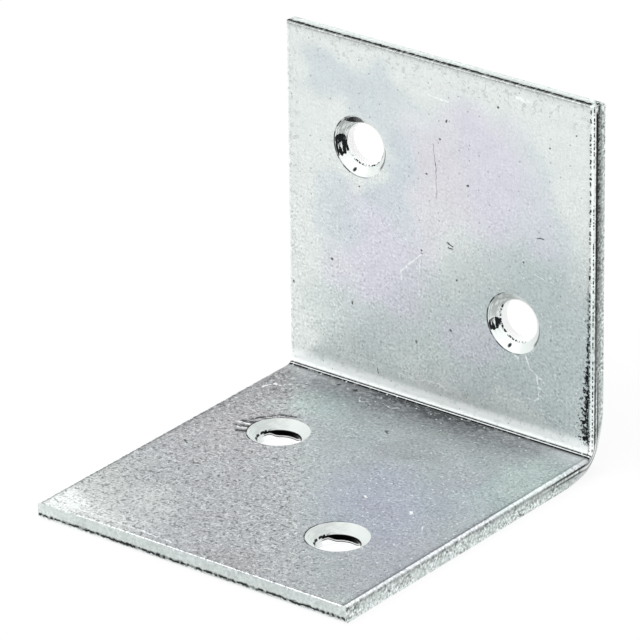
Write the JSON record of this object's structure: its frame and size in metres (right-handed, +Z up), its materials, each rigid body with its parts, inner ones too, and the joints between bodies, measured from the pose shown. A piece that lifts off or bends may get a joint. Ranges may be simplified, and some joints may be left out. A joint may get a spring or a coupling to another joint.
{
  "type": "corner brace bracket",
  "caption": "Folded sheet steel corner brace: two square legs at a right angle with countersunk screw holes set on a diagonal, for stiffening a corner joint.",
  "frame": {"origin": "middle of the underside of the flat leg, at the middle of the bracket's overall box", "axes": "+Z up along the upright leg, +Y from the flat leg's toe to the upright leg's back, +X along the fold"},
  "size_m": [0.04, 0.0442, 0.0415],
  "materials": {
    "zinc_steel": "bright zinc plating on sheet steel, cloudy and lightly scratched"
  },
  "bodies": {
    "root": {"bracket": "zinc_steel"}
  },
  "joints": []
}
